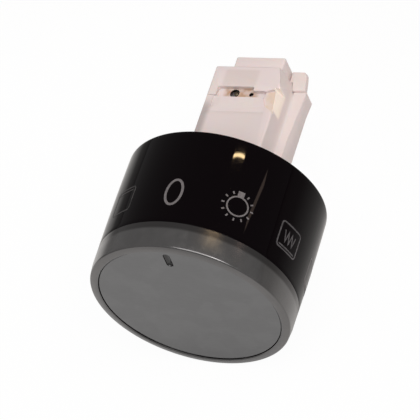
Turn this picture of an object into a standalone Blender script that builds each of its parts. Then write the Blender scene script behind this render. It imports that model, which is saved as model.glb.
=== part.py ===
"""Retractable rotary knob for a cooker: a printed barrel with a mirror cap slides over a white stem.

The stem plugs onto a switch shaft and stays put. Pressing the cap slides the barrel back over the
stem, and a wire pin that runs in a heart-shaped track holds it there until it is pressed again.

Frame: the knob's axis is Y. The shaft goes in at the origin, the cap faces -Y, and the pointer is at +Z.
Sizes are real ones, in metres.
"""

from math import asin, atan2, cos, degrees, hypot, pi, sin, sqrt

import bmesh
import bpy
from mathutils import Matrix, Vector

MM = 0.001

# Clearances
GAP = 0.3 * MM  # between pieces that seat on each other
RUN_GAP = 0.35 * MM  # round what slides
END_GAP = 0.6 * MM  # left at the end of the stroke
THREAD_BITE = 0.15 * MM  # a screw's pilot hole is wider by this, so that the solids stay apart

# Stroke and latch
TRAVEL = 12.5 * MM  # full press, a little past the latched place
OVERTRAVEL = 1.85 * MM  # how far past it

# Printed barrel
SKIRT_RADIUS = 21.0 * MM
SKIRT_LENGTH = 23.5 * MM
SKIRT_WALL = 1.8 * MM
SKIRT_EDGE = 0.45 * MM
LEDGE_WIDTH = 1.6 * MM
LEDGE_LENGTH = 1.0 * MM

# Mirror cap: a bezel ring and the face plate in it
BEZEL_DEPTH = 4.6 * MM
BEZEL_SET_IN = 0.4 * MM  # below the barrel's surface
BEZEL_TAPER = 0.17 * MM
BEZEL_EDGE = 0.5 * MM
BEZEL_LAND = 1.5 * MM  # the ring's front, from its side to the face plate
SEAT_WIDTH = 2.4 * MM  # of the ledge behind the face plate
SPIGOT_LENGTH = 1.4 * MM
FACE_SINK = 0.3 * MM
FACE_THICKNESS = 1.4 * MM
SEAM = 0.12 * MM  # round the face plate and behind the bezel
POINTER_FROM_EDGE = 2.6 * MM
POINTER_LENGTH = 4.0 * MM
POINTER_HALF_WIDTH = 0.75 * MM
POINTER_DEPTH = 0.5 * MM

# Carrier inside the barrel
WEB_THICKNESS = 2.0 * MM
SLEEVE_WALL = 1.4 * MM
SLEEVE_SET_IN = 1.2 * MM  # short of the barrel's back edge
CARRIER_RIB = 1.2 * MM
CARRIER_RIB_LENGTH = 6.0 * MM

# Stem, in two shells
STEM_WIDTH = 15.8 * MM
STEM_HEIGHT = 15.4 * MM
STEM_PROTRUSION = 30.0 * MM  # from the barrel's back edge to the stem's back end
STEM_WALL = 1.7 * MM
STEM_SIDE_WALL = 2.4 * MM
STEM_CORNER = 0.45 * MM
STEM_EDGE = 0.3 * MM
PARTING_CORNER = 0.4 * MM
RAIL_CORNER = 0.3 * MM
CAVITY_CORNER = 0.4 * MM
PARTING_HEIGHT = 1.7 * MM
FILLET_RADIUS = 0.8 * MM  # between the upper shell's side and the rail
FILLET_SINK = 0.5 * MM  # how far the fillet's strip reaches into the shell
RAIL_HEIGHT = 4.0 * MM
RAIL_WIDTH = 2.1 * MM
RAIL_EDGE = 0.25 * MM
FLARE_WIDTH = 0.95 * MM  # what the rail gains in width on its way to the foot
FLARE_FROM_END = 17.4 * MM
FOOT_LENGTH = 5.3 * MM  # from the stem's back end to the foot's step
FOOT_SHORT = 0.4 * MM  # the foot ends this far before the stem's back end
FOOT_THICKNESS = 1.2 * MM
FOOT_RISE = 0.6 * MM
FOOT_TAPER = 0.7 * MM
FOOT_ROUND = 0.9 * MM
FOOT_TUCK = 1.2 * MM  # how far the foot reaches in behind the shells
FUSE = 0.02 * MM  # keeps faces of joined solids out of one plane

# The upper shell's right side narrows towards its back end, by a plane that leans back at the top
NARROW_TOP = 8.8 * MM  # from the stem's back end to where it starts, at the top
NARROW_LOW = 5.4 * MM  # and at the foot's height
NARROW_SLOPE = 0.3
NOTCH_FRONT = 14.4 * MM
NOTCH_BACK = 8.9 * MM
NOTCH_START = 0.35 * MM  # how far the notch in the right top edge reaches in at its front
NOTCH_END = 1.0 * MM  # and at its back
NOTCH_DEPTH = 3.4 * MM
CUT_CLEAR = 0.05 * MM

# Window, panel and grooves in the stem's top. Lengths along it are from its back end.
WINDOW_FRONT = 11.2 * MM
WINDOW_BACK = 8.7 * MM
WINDOW_STEP = 1.0 * MM
WINDOW_LEFT = 5.9 * MM
WINDOW_RIGHT = 5.0 * MM
WINDOW_SINK = 1.0 * MM
PANEL_FRONT = 15.1 * MM
PANEL_LEFT = 4.7 * MM
PANEL_RIGHT = 6.0 * MM
PANEL_STEP = 0.25 * MM
STRIP_WIDTH = 1.7 * MM
STRIP_SHORT = 1.2 * MM  # the strip starts this far behind the panel's front
STRIP_SINK = 0.45 * MM
GROOVE_SINK = 0.6 * MM
GROOVE_WIDTH = 2.3 * MM  # along the stem, where the groove runs out of its side

# Shaft socket
SHAFT_RADIUS = 3.0 * MM
SHAFT_FLAT = 1.6 * MM  # from the axis to the shaft's flat
SHAFT_GAP = 0.08 * MM
SHAFT_DEPTH = 10.0 * MM
SOCKET_FLOOR = 1.8 * MM
COLLAR_LENGTH = 3.2 * MM
COLLAR_LEFT = 5.45 * MM
COLLAR_RIGHT = 6.3 * MM
COLLAR_HEIGHT = 12.8 * MM
COLLAR_SLOPE = 0.9 * MM
SHOULDER_BACK = 2.2 * MM  # from the shells' end to the ledge that the pin lies on
SHOULDER_SLOPE = 0.5 * MM
CLIP_THICKNESS = 0.4 * MM
CLIP_WIDTH = 3.6 * MM
CLIP_SET_IN = 0.4 * MM
CLIP_BOW = 0.6 * MM

# Cam slider
SLIDER_CORNER = 0.5 * MM
SLIDER_TOP = 4.4 * MM
SLIDER_BOTTOM = 5.8 * MM
LUG_LENGTH = 3.0 * MM
LUG_REACH = 1.2 * MM
LUG_HEIGHT = 2.4 * MM
TRACK_DEPTH = 1.4 * MM
TRACK_STEP = 0.3 * MM
TRACK_REACH = 1.9 * MM  # from the middle to each lane
TIP_INSET = 2.2 * MM
HEART_POINT = 1.5 * MM  # between the pin at rest and the island's point
HEART_ROOT = 0.4 * MM  # how far the island reaches into the slider
LATCH_PLAY = 0.05 * MM

# Latch pin
PIN_RADIUS = 0.5 * MM
PIN_BEND = 0.9 * MM
PIN_X = -1.9 * MM
PIN_FROM_END = 9.8 * MM
PIN_HEIGHT = 5.25 * MM
PIN_HOLE_RADIUS = 1.05 * MM
PIN_HOLE_SHIFT = 0.3 * MM  # to the left of the pin
SIDE_HOLE_RADIUS = 0.5 * MM
SIDE_HOLE_X = 1.55 * MM
SIDE_HOLE_FROM_END = 10.0 * MM

# Spring and screw
SPRING_RADIUS = 2.45 * MM  # to the middle of the wire
SPRING_WIRE = 0.3 * MM
SPRING_TURNS = 12
SPRING_DROP = 1.4 * MM
BORE_FLOOR = 5.2 * MM
SCREW_RADIUS = 1.2 * MM
SCREW_HEAD_RADIUS = 2.5 * MM
SCREW_HEAD = 1.6 * MM
SCREW_LENGTH = 6.0 * MM
RECESS_LENGTH = 3.0 * MM
RECESS_WIDTH = 0.6 * MM

# Facets
ROUND_STEPS = 96
SMALL_STEPS = 24
HOLE_STEPS = 16
SHARP_ANGLE = 35 * pi / 180

# Places along the axis, from the stem's back end at 0 to the cap's front
skirt_back = -STEM_PROTRUSION
skirt_front = skirt_back - SKIRT_LENGTH
bezel_front = skirt_front - BEZEL_DEPTH
face_front = bezel_front + FACE_SINK
face_back = face_front + FACE_THICKNESS
web_front = skirt_front + SPIGOT_LENGTH + GAP
web_back = web_front + WEB_THICKNESS
sleeve_back = skirt_back - SLEEVE_SET_IN
stem_front = web_back + TRAVEL + END_GAP
stem_back = -COLLAR_LENGTH - GAP
socket_front = -SHAFT_DEPTH - SOCKET_FLOOR
slider_front = web_back + GAP
slider_back = socket_front - END_GAP - TRAVEL
lug_front = slider_back - LUG_LENGTH
tip_y = slider_back - TIP_INSET
pin_y = -PIN_FROM_END
foot_step = -FOOT_LENGTH
bore_bottom = slider_front + BORE_FLOOR

# Places across the axis
half_width = STEM_WIDTH / 2
half_height = STEM_HEIGHT / 2
cavity_half = half_width - STEM_SIDE_WALL
cavity_top = half_height - STEM_WALL
rail_out = half_width + RAIL_WIDTH
rail_bottom = PARTING_HEIGHT - RAIL_HEIGHT
skirt_bore = SKIRT_RADIUS - SKIRT_WALL
bezel_side = SKIRT_RADIUS - BEZEL_SET_IN
face_hole = bezel_side - BEZEL_TAPER - BEZEL_LAND
face_rim = face_hole - SEAM
slider_half = cavity_half - RUN_GAP


def arc(cx, cy, radius, start, end, steps):
    """Points on an arc from one angle to another, in degrees."""
    angles = [(start + (end - start) * i / steps) * pi / 180 for i in range(steps + 1)]
    return [(cx + radius * cos(a), cy + radius * sin(a)) for a in angles]


def rounded(corners, steps=3):
    """An outline whose corners (x, y, radius) are replaced by arcs that touch both sides."""
    points = []
    for i, (x, y, radius) in enumerate(corners):
        here = Vector((x, y))
        before = (Vector(corners[i - 1][:2]) - here).normalized()
        after = (Vector(corners[(i + 1) % len(corners)][:2]) - here).normalized()
        if radius <= 0:
            points.append((x, y))
            continue
        half = before.angle(after) / 2
        middle = here + (before + after).normalized() * radius / sin(half)
        first = here + before * (middle - here).dot(before) - middle
        last = here + after * (middle - here).dot(after) - middle
        start = atan2(first.y, first.x)
        turn = (atan2(last.y, last.x) - start + pi) % (2 * pi) - pi
        for k in range(steps + 1):
            angle = start + turn * k / steps
            points.append((middle.x + radius * cos(angle), middle.y + radius * sin(angle)))
    return points


def box_outline(left, right, low, high, radius=0.0):
    """A rectangle, with its corners rounded if a radius is given."""
    corners = [(left, low), (right, low), (right, high), (left, high)]
    return rounded([(x, y, radius) for x, y in corners])


def area_of(outline):
    """The outline's area, positive when its points run anticlockwise."""
    return sum(a[0] * b[1] - b[0] * a[1] for a, b in zip(outline, outline[1:] + outline[:1])) / 2


def inset(outline, distance):
    """The outline with each point moved inwards, square to its two sides."""
    turn = 1 if area_of(outline) > 0 else -1
    moved = []
    for i, point in enumerate(outline):
        here = Vector(point)
        into = (here - Vector(outline[i - 1])).normalized()
        out = (Vector(outline[(i + 1) % len(outline)]) - here).normalized()
        normal = Vector((-(into + out).y, (into + out).x)).normalized() * turn
        slant = max(0.5, normal.dot(Vector((-into.y, into.x)) * turn))
        moved.append(tuple(here + normal * distance / slant))
    return moved


PLACE = {
    "X": lambda a, b, along: (along, a, b),
    "Y": lambda a, b, along: (a, along, b),
    "Z": lambda a, b, along: (a, b, along),
}


def mesh_object(name, bm, location=(0, 0, 0)):
    """A named object from a bmesh, with its faces pointing out and its origin at a place."""
    bmesh.ops.recalc_face_normals(bm, faces=bm.faces)
    bmesh.ops.translate(bm, vec=-Vector(location), verts=bm.verts)
    mesh = bpy.data.meshes.new(name)
    bm.to_mesh(mesh)
    bm.free()
    mesh.shade_smooth()
    mesh.set_sharp_from_angle(angle=SHARP_ANGLE)
    made = bpy.data.objects.new(name, mesh)
    made.location = location
    bpy.context.scene.collection.objects.link(made)
    return made


def loft(name, rings, location=(0, 0, 0)):
    """A closed solid through rings of equal count, with flat ends."""
    bm = bmesh.new()
    loops = [[bm.verts.new(point) for point in ring] for ring in rings]
    for low, high in zip(loops, loops[1:]):
        for i in range(len(low)):
            j = (i + 1) % len(low)
            bm.faces.new((low[i], low[j], high[j], high[i]))
    bm.faces.new(loops[0][::-1])
    bm.faces.new(loops[-1])
    return mesh_object(name, bm, location)


def prism(name, outline, axis, low, high, edge=0.0):
    """An outline run along an axis. An edge size rounds both of its end faces' borders."""
    place = PLACE[axis]
    ease = 1 - sqrt(0.5)
    steps = [(0.0, 0.0)] if edge <= 0 else [(edge, 0.0), (edge * ease, edge * ease), (0.0, edge)]
    stations = [(side, low + along) for side, along in steps]
    stations += [(side, high - along) for side, along in reversed(steps)]
    rings = [
        [place(a, b, along) for a, b in (inset(outline, side) if side > 0 else outline)]
        for side, along in stations
    ]
    return loft(name, rings)


def turned(name, profile, steps=ROUND_STEPS, centre_z=0.0, location=(0, 0, 0)):
    """A profile of (radius, y) points turned about an axis along Y. Radius 0 makes a pole."""
    bm = bmesh.new()
    rings = []
    for radius, y in profile:
        if radius <= 0:
            rings.append([bm.verts.new((0, y, centre_z))])
            continue
        angles = [2 * pi * i / steps for i in range(steps)]
        rings.append([bm.verts.new((radius * sin(a), y, centre_z + radius * cos(a))) for a in angles])
    pairs = list(zip(rings, rings[1:]))
    if all(radius > 0 for radius, _ in profile):
        pairs.append((rings[-1], rings[0]))
    for first, second in pairs:
        for i in range(steps):
            j = (i + 1) % steps
            low = [first[k % len(first)] for k in (i, j)]
            high = [second[k % len(second)] for k in (j, i)]
            corners = low + high
            unique = [v for k, v in enumerate(corners) if v not in corners[:k]]
            if len(unique) > 2:
                bm.faces.new(unique)
    return mesh_object(name, bm, location)


def drilled(name, radius, front, back, centre_z=0.0):
    """A round tool along Y that drills a hole from one place to another."""
    profile = [(0, front), (radius, front), (radius, back), (0, back)]
    return turned(name, profile, SMALL_STEPS, centre_z)


def combine(target, other, operation):
    """Adds a Boolean to the target, and keeps the other object as its hidden tool."""
    change = target.modifiers.new(other.name, "BOOLEAN")
    change.operation = operation
    change.object = other
    change.solver = "EXACT"
    other.hide_render = True
    other.display_type = "WIRE"
    other.name = f"{target.name}_{other.name}"
    return target


def cut(target, *tools):
    for tool in tools:
        combine(target, tool, "DIFFERENCE")
    return target


def join(target, *tools):
    for tool in tools:
        combine(target, tool, "UNION")
    return target


def wire(name, points, radius, sides, location=(0, 0, 0)):
    """Round wire along a smooth run of points, with closed ends."""
    curve = bpy.data.curves.new(name, "CURVE")
    curve.dimensions = "3D"
    curve.bevel_depth = radius
    curve.bevel_resolution = sides
    curve.use_fill_caps = True
    spline = curve.splines.new("POLY")
    spline.points.add(len(points) - 1)
    for spot, point in zip(spline.points, points):
        spot.co = (*(Vector(point) - Vector(location)), 1.0)
    made = bpy.data.objects.new(name, curve)
    made.location = location
    bpy.context.scene.collection.objects.link(made)
    return made


def bent_path(corners, radius, steps=4):
    """Points along straight runs whose corners are bent to a radius."""
    path = [Vector(corners[0])]
    for before, here, after in zip(corners, corners[1:], corners[2:]):
        here = Vector(here)
        into = (Vector(before) - here).normalized()
        out = (Vector(after) - here).normalized()
        half = into.angle(out) / 2
        middle = here + (into + out).normalized() * radius / sin(half)
        first = here + into * (middle - here).dot(into) - middle
        last = here + out * (middle - here).dot(out) - middle
        turn = first.angle(last)
        for k in range(steps + 1):
            share = turn * k / steps
            blend = first * sin(turn - share) + last * sin(share)
            path.append(middle + blend / sin(turn))
    path.append(Vector(corners[-1]))
    return path


def finish(name, colour, roughness, metallic=0.0):
    """A plain material for one kind of surface."""
    material = bpy.data.materials.new(name)
    material.use_nodes = True
    shader = material.node_tree.nodes["Principled BSDF"]
    shader.inputs["Base Color"].default_value = (*colour, 1.0)
    shader.inputs["Roughness"].default_value = roughness
    shader.inputs["Metallic"].default_value = metallic
    return material


def carry(parent, *pieces):
    """Parents pieces to an empty without moving them."""
    for piece in pieces:
        piece.parent = parent
        piece.matrix_parent_inverse = Matrix.Translation(-parent.location)


def empty_at(name, location):
    """An empty that marks where a moving group is driven."""
    made = bpy.data.objects.new(name, None)
    made.location = location
    bpy.context.scene.collection.objects.link(made)
    return made


def make_skirt():
    """The printed barrel: a plain tube with a ledge that the carrier is pushed up against."""
    ledge_front = web_back + GAP
    ledge_back = ledge_front + LEDGE_LENGTH
    ledge_bore = skirt_bore - LEDGE_WIDTH
    outer_back = arc(SKIRT_RADIUS - SKIRT_EDGE, skirt_back - SKIRT_EDGE, SKIRT_EDGE, 90, 0, 3)
    front_edge = SKIRT_EDGE / 3
    outer_front = arc(SKIRT_RADIUS - front_edge, skirt_front + front_edge, front_edge, 0, -90, 2)
    inner = [
        (skirt_bore, skirt_front),
        (skirt_bore, ledge_front),
        (ledge_bore, ledge_front),
        (ledge_bore, ledge_back),
        (skirt_bore, ledge_back + LEDGE_WIDTH),
        (skirt_bore, skirt_back),
    ]
    return turned("skirt", outer_back + outer_front + inner)


def make_bezel():
    """The mirror ring that plugs into the barrel and frames the face plate."""
    side_front = bezel_side - BEZEL_TAPER
    seat = face_back + GAP
    plug = skirt_bore - GAP
    bore = face_hole - SEAT_WIDTH
    edge = arc(side_front - BEZEL_EDGE, bezel_front + BEZEL_EDGE, BEZEL_EDGE, 0, -90, 5)
    profile = [
        (bore, web_front - GAP),
        (plug, web_front - GAP),
        (plug, skirt_front - SEAM),
        (bezel_side, skirt_front - SEAM),
        (bezel_side - BEZEL_TAPER / 3, (skirt_front + bezel_front) / 2),
        *edge,
        (face_hole + SEAM, bezel_front),
        (face_hole, bezel_front + SEAM),
        (face_hole, seat),
        (bore, seat),
    ]
    return turned("bezel_ring", profile)


def make_face():
    """The flat mirror plate, with a gouged pointer near its edge at +Z."""
    profile = [
        (0, face_front),
        (face_rim / 2, face_front),
        (face_rim - SEAM, face_front),
        (face_rim, face_front + SEAM),
        (face_rim, face_back),
        (face_rim / 2, face_back),
        (0, face_back),
    ]
    plate = turned("face_plate", profile)
    return cut(plate, pointer_gouge(POINTER_HALF_WIDTH, face_front + POINTER_DEPTH - POINTER_HALF_WIDTH))


def pointer_gouge(radius, y):
    """A round-ended bar laid along Z, which scoops out the pointer."""
    steps = 4
    outer = face_rim - POINTER_FROM_EDGE - radius
    inner = outer + 2 * radius - POINTER_LENGTH
    rings = []
    for end, sign in ((inner, -1), (outer, 1)):
        angles = [pi / 2 * (i + 0.35) / (steps + 0.35) for i in range(steps)]
        ordered = angles[::-1] if sign < 0 else angles
        for angle in ordered:
            size = radius * cos(angle) if angle > 0 else radius
            rings.append((size, end + sign * radius * sin(angle)))
    sides = 16
    circle = [2 * pi * i / sides for i in range(sides)]
    return loft("pointer", [[(r * cos(a), y + r * sin(a), z) for a in circle] for r, z in rings])


def stem_section(grow):
    """The stem's outline across its axis, both shells and rails, made larger all round."""
    top = half_height + grow
    side = half_width + grow
    rail = rail_out + grow
    rail_top = PARTING_HEIGHT + grow
    rail_low = rail_bottom - grow
    corner = STEM_CORNER + grow / 2
    small = RAIL_CORNER
    return rounded(
        [
            (-side, -top, corner),
            (side, -top, corner),
            (side, rail_low, small),
            (rail, rail_low, small),
            (rail, rail_top, small),
            (side, rail_top, FILLET_RADIUS),
            (side, top, corner),
            (-side, top, corner),
            (-side, rail_top, FILLET_RADIUS),
            (-rail, rail_top, small),
            (-rail, rail_low, small),
            (-side, rail_low, small),
        ]
    )


def make_carrier():
    """The hub: a disc against the barrel's ledge, with the sleeve that slides over the stem."""
    rim = skirt_bore - GAP
    disc = [(0, web_front), (rim, web_front), (rim, web_back), (0, web_back)]
    carrier = turned("carrier", disc)
    sink = WEB_THICKNESS / 2
    sleeve = prism("sleeve", stem_section(RUN_GAP + SLEEVE_WALL), "Y", web_back - sink, sleeve_back)
    reach = skirt_bore - LEDGE_WIDTH - GAP
    back = web_back + CARRIER_RIB_LENGTH
    start = hypot(half_width, half_height)
    flat_rib = box_outline(start, reach, -CARRIER_RIB / 2, CARRIER_RIB / 2)
    for i in range(4):
        rib = prism("rib", flat_rib, "Y", web_back - sink, back)
        rib.data.transform(Matrix.Rotation(pi / 4 + i * pi / 2, 4, "Y"))
        join(carrier, rib)
    join(carrier, sleeve)
    bore = prism("guide", stem_section(RUN_GAP), "Y", web_back, sleeve_back + GAP)
    hole = drilled("screw_hole", SCREW_RADIUS + GAP, web_front - GAP, web_back + GAP, -SPRING_DROP)
    return cut(carrier, bore, hole)


def heart_outline(front, back, half, notch):
    """The island of the track: a point towards the stem's end, two lobes and a notch between them."""
    lobe = half / 2
    left = arc(-lobe, front + lobe, lobe, 180, 360, 5)
    right = arc(lobe, front + lobe, lobe, 180, 360, 5)
    shoulder = front + (back - front) * 0.55
    return [(-half, shoulder), *left, (0, front + notch), *right[1:], (half, shoulder), (0, back)]


def make_slider():
    """The cam slider: it guides the knob in the stem, holds the spring and carries the track."""
    outline = box_outline(-slider_half, slider_half, -SLIDER_BOTTOM, SLIDER_TOP, SLIDER_CORNER)
    slider = prism("cam_slider", outline, "Y", slider_front, slider_back, SLIDER_CORNER / 2)
    lug_reach = slider_half + LUG_REACH
    lug_outline = box_outline(-lug_reach, lug_reach, lug_front, slider_back, SLIDER_CORNER / 2)
    join(slider, prism("stop_lugs", lug_outline, "Z", -LUG_HEIGHT / 2, LUG_HEIGHT / 2))
    bore_radius = SPRING_RADIUS + SPRING_WIRE + RUN_GAP
    bore = drilled("spring_bore", bore_radius, bore_bottom, slider_back + GAP, -SPRING_DROP)
    pilot_radius = SCREW_RADIUS + THREAD_BITE
    pilot = drilled("pilot", pilot_radius, slider_front - GAP, bore_bottom - GAP, -SPRING_DROP)
    lane = PIN_RADIUS + RUN_GAP
    side = TRACK_REACH + lane
    arm = pin_y - tip_y
    lift = arm - sqrt(arm**2 - (TRACK_REACH - PIN_X) ** 2)
    back = tip_y + lift + lane
    front = tip_y - TRAVEL - lane
    floor = SLIDER_TOP - TRACK_DEPTH
    pocket = prism("track", box_outline(-side, side, front, back, lane), "Z", floor, SLIDER_TOP + GAP)
    deep = prism(
        "track_lane",
        box_outline(-side, -side + 2 * lane, front, back, lane / 2),
        "Z",
        floor - TRACK_STEP,
        SLIDER_TOP + GAP,
    )
    latch_y = tip_y - (TRAVEL - OVERTRAVEL)
    island_half = TRACK_REACH - lane
    notch_bottom = latch_y + PIN_RADIUS + LATCH_PLAY
    notch = island_half
    island = prism(
        "heart",
        heart_outline(notch_bottom - notch, tip_y - lane - HEART_POINT, island_half, notch),
        "Z",
        floor - TRACK_STEP - HEART_ROOT,
        SLIDER_TOP,
    )
    cut(slider, bore, pilot, pocket, deep)
    return join(slider, island)


def make_screw():
    """The pan-head screw that holds the slider to the carrier, under the face plate."""
    head_back = web_front - GAP
    head_front = head_back - SCREW_HEAD
    tip = head_back + SCREW_LENGTH
    dome = SCREW_HEAD / 2
    profile = [
        (0, head_front),
        (SCREW_HEAD_RADIUS - dome, head_front),
        *arc(SCREW_HEAD_RADIUS - dome, head_front + dome, dome, -90, 0, 3)[1:],
        (SCREW_HEAD_RADIUS, head_back),
        (SCREW_RADIUS, head_back),
        (SCREW_RADIUS, tip - SCREW_RADIUS),
        (SCREW_RADIUS / 3, tip),
        (0, tip),
    ]
    screw = turned("slider_screw", profile, SMALL_STEPS, -SPRING_DROP)
    reach = RECESS_LENGTH / 2
    half = RECESS_WIDTH / 2
    bar = box_outline(-reach, reach, -half, half)
    for turn in (0, pi / 2):
        slot = prism("recess", bar, "Y", head_front - GAP, head_front + dome)
        slot.data.transform(Matrix.Rotation(turn, 4, "Y"))
        slot.data.transform(Matrix.Translation((0, 0, -SPRING_DROP)))
        cut(screw, slot)
    return screw


def shell_section(low, high, low_corner, high_corner):
    """One shell's outline across the axis, from one height to another."""
    return rounded(
        [
            (-half_width, low, low_corner),
            (half_width, low, low_corner),
            (half_width, high, high_corner),
            (-half_width, high, high_corner),
        ],
        4,
    )


def sunk(name, outline, depth):
    """A tool that sinks an outline, seen from above, into the stem's top."""
    return prism(name, outline, "Z", half_height - depth, half_height + GAP)


def window_outline():
    """The window: deeper towards the stem's end on its left part than on its right."""
    step_x = -PIN_X + WINDOW_STEP / 3
    small = 0.4 * MM
    return rounded(
        [
            (-WINDOW_LEFT, -WINDOW_FRONT, small),
            (WINDOW_RIGHT, -WINDOW_FRONT, small),
            (WINDOW_RIGHT, -WINDOW_BACK - WINDOW_STEP, small),
            (step_x, -WINDOW_BACK - WINDOW_STEP, small / 2),
            (step_x, -WINDOW_BACK, small),
            (-WINDOW_LEFT, -WINDOW_BACK, small),
        ]
    )


def make_stem_upper():
    """The top shell, with the sunk window where the latch pin's eye shows, and the panel beside it."""
    low = PARTING_HEIGHT + GAP
    outline = shell_section(low, half_height, PARTING_CORNER, STEM_CORNER)
    shell = prism("stem_upper", outline, "Y", stem_front, stem_back, STEM_EDGE)
    hollow = prism(
        "hollow",
        box_outline(-cavity_half, cavity_half, low - GAP, cavity_top, CAVITY_CORNER),
        "Y",
        stem_front - GAP,
        stem_back + GAP,
    )
    for side in (-1, 1):
        join(shell, prism("fillet", fillet_outline(side), "Y", stem_front + STEM_EDGE, foot_step - GAP))
    side = half_width + GAP
    shelf = box_outline(-side, PANEL_RIGHT, -PANEL_FRONT, -WINDOW_FRONT + GAP)
    strip_left = -PANEL_LEFT - STRIP_WIDTH
    strip_front = STRIP_SHORT - PANEL_FRONT
    strip = box_outline(strip_left, -PANEL_LEFT, strip_front, GAP - WINDOW_FRONT, STRIP_WIDTH / 4)
    tools = [
        hollow,
        sunk("shelf", shelf, PANEL_STEP),
        sunk("window", window_outline(), WINDOW_SINK),
        sunk("strip", strip, STRIP_SINK),
        sunk("groove", groove_outline(), GROOVE_SINK),
        edge_notch(),
        narrowing(),
    ]
    for name, x, from_end, radius in (
        ("pin_eye", PIN_X - PIN_HOLE_SHIFT, PIN_FROM_END, PIN_HOLE_RADIUS),
        ("side_hole", SIDE_HOLE_X, SIDE_HOLE_FROM_END, SIDE_HOLE_RADIUS),
    ):
        circle = arc(x, -from_end, radius, 0, 360, HOLE_STEPS)[:-1]
        tools.append(prism(name, circle, "Z", cavity_top - GAP, half_height + GAP))
    return cut(shell, *tools)


def fillet_outline(side):
    """The hollow strip along the upper shell's bottom edge that leads over to the rail."""
    low = PARTING_HEIGHT + GAP + FUSE
    root = half_width - FILLET_SINK
    curve = arc(half_width + FILLET_RADIUS, low + FILLET_RADIUS, FILLET_RADIUS, 250, 180, 5)
    points = [(root, low), (curve[0][0], low), *curve, (root, low + FILLET_RADIUS)]
    return [(side * x, z) for x, z in points]


def groove_outline():
    """The groove that leads from the window's right end, and out of the stem's side."""
    side = half_width + GAP
    small = 0.2 * MM
    return rounded(
        [
            (WINDOW_RIGHT - small, -WINDOW_BACK - WINDOW_STEP - small, small),
            (WINDOW_RIGHT - small, -WINDOW_FRONT - small, small),
            (PANEL_RIGHT - small, -WINDOW_FRONT - GROOVE_WIDTH, small),
            (side, -PANEL_FRONT - small, small),
            (side, GROOVE_WIDTH - PANEL_FRONT, small),
            (half_width - NOTCH_END, -NOTCH_BACK - small, 2 * small),
        ]
    )


def edge_notch():
    """A slanted notch in the stem's right top edge, beside the groove, wider towards the back."""
    rings = []
    for y, size in ((-NOTCH_FRONT, NOTCH_START), (-NOTCH_BACK, NOTCH_END)):
        lean = size / NOTCH_DEPTH
        out_x = half_width + CUT_CLEAR
        top_z = half_height + GAP
        corners = [
            (half_width - size - GAP * lean, top_z),
            (out_x, top_z),
            (out_x, half_height - NOTCH_DEPTH - CUT_CLEAR / lean),
        ]
        rings.append([(x, y, z) for x, z in corners])
    return loft("notch", rings)


def narrowing():
    """The tool that slants the upper shell's right side inwards at its back end."""
    foot_top = PARTING_HEIGHT + FOOT_RISE
    lean = (NARROW_TOP - NARROW_LOW) / (half_height - foot_top)
    end = stem_back + GAP
    out_x = half_width + GAP
    rings = []
    for z in (PARTING_HEIGHT, half_height + GAP):
        start = -NARROW_LOW - (z - foot_top) * lean
        rings.append([
            (out_x, start - GAP / NARROW_SLOPE, z),
            (out_x, end, z),
            (half_width - (end - start) * NARROW_SLOPE, end, z),
        ])
    return loft("narrowing", rings)


def foot_outer():
    """The foot's outer side seen from above, from its step round to its back end."""
    out = rail_out + FLARE_WIDTH
    back = -FOOT_SHORT
    return [
        (out, foot_step),
        (out - FOOT_TAPER / 3, foot_step + FOOT_TAPER / 2),
        (out - FOOT_TAPER, back - 2 * FOOT_ROUND),
        (out - FOOT_TAPER - FOOT_ROUND / 3, back - FOOT_ROUND / 2),
        (out - FOOT_TAPER - FOOT_ROUND, back),
    ]


def foot_plate_outline():
    """The foot's lower part seen from above, which reaches into the shell's wall and behind it."""
    inner = half_width - FOOT_TUCK
    return [(inner, foot_step), *foot_outer(), (inner, -FOOT_SHORT)]


def foot_pad_outline(narrowed):
    """The foot's raised part seen from above. It keeps clear of the upper shell's side and end."""
    near = half_width + GAP
    behind = stem_back + GAP
    at_end = near - ((stem_back + NARROW_LOW) * NARROW_SLOPE if narrowed else 0)
    inner = half_width - FOOT_TUCK + GAP
    outer = [(x - FUSE, y - FUSE) for x, y in foot_outer()]
    return [(near, outer[0][1]), *outer, (inner, outer[-1][1]), (inner, behind), (at_end, behind)]


def rail_outline():
    """A side rail seen from above: straight, then flared towards the foot."""
    inner = half_width - STEM_SIDE_WALL / 2
    out = rail_out + FLARE_WIDTH - FUSE
    corner = RAIL_CORNER
    end = foot_step + corner
    return [
        (inner, stem_front + STEM_EDGE),
        (rail_out, stem_front + STEM_EDGE),
        (rail_out, -FLARE_FROM_END),
        (out, end - corner),
        (out - corner, end),
        (inner, end),
    ]


def make_stem_lower():
    """The bottom shell, with a rail down each side that ends in a thin raised foot."""
    outline = shell_section(-half_height, PARTING_HEIGHT, STEM_CORNER, PARTING_CORNER)
    shell = prism("stem_lower", outline, "Y", stem_front, stem_back, STEM_EDGE)
    rail_top = PARTING_HEIGHT - FUSE
    foot_top = PARTING_HEIGHT + FOOT_RISE
    foot_low = foot_top - FOOT_THICKNESS
    for side in (-1, 1):
        parts = [
            ("rail", rail_outline(), rail_bottom, rail_top, RAIL_EDGE),
            ("foot_plate", foot_plate_outline(), foot_low, rail_top - FUSE, 0.0),
            ("foot_pad", foot_pad_outline(side > 0), foot_low + FUSE, foot_top, RAIL_EDGE),
        ]
        for name, plan, low, high, edge in parts:
            join(shell, prism(name, [(side * x, y) for x, y in plan], "Z", low, high, edge))
    hollow = prism(
        "hollow",
        box_outline(-cavity_half, cavity_half, -cavity_top, PARTING_HEIGHT + GAP, CAVITY_CORNER),
        "Y",
        stem_front - GAP,
        stem_back + GAP,
    )
    groove_half = slider_half + LUG_REACH + RUN_GAP
    groove = prism(
        "lug_groove",
        box_outline(-groove_half, groove_half, lug_front - GAP, socket_front),
        "Z",
        -LUG_HEIGHT / 2 - RUN_GAP,
        PARTING_HEIGHT + GAP,
    )
    return cut(shell, hollow, groove)


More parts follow.
